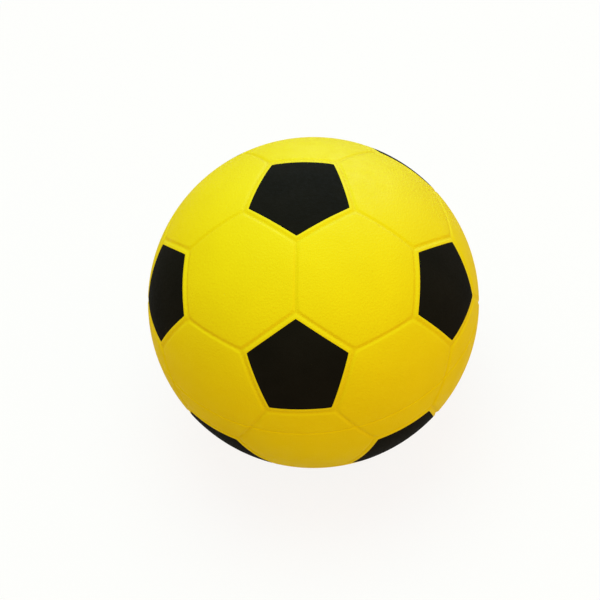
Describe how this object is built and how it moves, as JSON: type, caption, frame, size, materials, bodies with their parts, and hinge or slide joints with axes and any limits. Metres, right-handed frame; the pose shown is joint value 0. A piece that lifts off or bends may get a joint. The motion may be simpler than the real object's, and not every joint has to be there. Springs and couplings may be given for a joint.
{
  "type": "soft soccer ball",
  "caption": "Soft inflatable soccer ball of yellow hexagon and pentagon foam panels with black pentagon facings, a carcass, an air bladder and a needle valve.",
  "frame": {"origin": "centre of the ball", "axes": "+Z through the middle of the top pentagon, square to the mould's parting plane, which is the XY plane; -Y towards the first pentagon of the upper ring; the valve is on the +Y side, in the YZ plane"},
  "size_m": [0.2058, 0.206, 0.206],
  "materials": {
    "yellow_cover": "satin soft skin with a fine grain",
    "black_facing": "matt",
    "wound_thread": "thread bound in latex",
    "butyl_rubber": "matt black",
    "valve_rubber": "satin dark grey"
  },
  "bodies": {
    "ball": {"hexagon_panel_top_1": "yellow_cover", "hexagon_panel_upper_1": "yellow_cover", "hexagon_panel_lower_1": "yellow_cover", "hexagon_panel_bottom_1": "yellow_cover", "hexagon_panel_top_2": "yellow_cover", "hexagon_panel_upper_2": "yellow_cover", "hexagon_panel_lower_2": "yellow_cover", "hexagon_panel_bottom_2": "yellow_cover", "hexagon_panel_top_3": "yellow_cover", "hexagon_panel_upper_3": "yellow_cover", "hexagon_panel_lower_3": "yellow_cover", "hexagon_panel_bottom_3": "yellow_cover", "hexagon_panel_top_4": "yellow_cover", "hexagon_panel_upper_4": "yellow_cover", "hexagon_panel_lower_4": "yellow_cover", "hexagon_panel_bottom_4": "yellow_cover", "hexagon_panel_top_5": "yellow_cover", "hexagon_panel_upper_5": "yellow_cover", "hexagon_panel_lower_5": "yellow_cover", "hexagon_panel_bottom_5": "yellow_cover", "pentagon_panel_top": "yellow_cover", "pentagon_panel_upper_1": "yellow_cover", "pentagon_panel_upper_2": "yellow_cover", "pentagon_panel_upper_3": "yellow_cover", "pentagon_panel_upper_4": "yellow_cover", "pentagon_panel_upper_5": "yellow_cover", "pentagon_panel_lower_1": "yellow_cover", "pentagon_panel_lower_2": "yellow_cover", "pentagon_panel_lower_3": "yellow_cover", "pentagon_panel_lower_4": "yellow_cover", "pentagon_panel_lower_5": "yellow_cover", "pentagon_panel_bottom": "yellow_cover", "black_facing_top": "black_facing", "black_facing_upper_1": "black_facing", "black_facing_upper_2": "black_facing", "black_facing_upper_3": "black_facing", "black_facing_upper_4": "black_facing", "black_facing_upper_5": "black_facing", "black_facing_lower_1": "black_facing", "black_facing_lower_2": "black_facing", "black_facing_lower_3": "black_facing", "black_facing_lower_4": "black_facing", "black_facing_lower_5": "black_facing", "black_facing_bottom": "black_facing", "carcass": "wound_thread", "bladder": "butyl_rubber", "valve_boot": "butyl_rubber"},
    "core": {"valve_core": "valve_rubber"}
  },
  "joints": [
    {"name": "valve_core_pull", "type": "slide", "parent": "ball", "child": "core", "axis": [0, 0.9822, 0.1876], "range_m": [0, 0.022]}
  ]
}
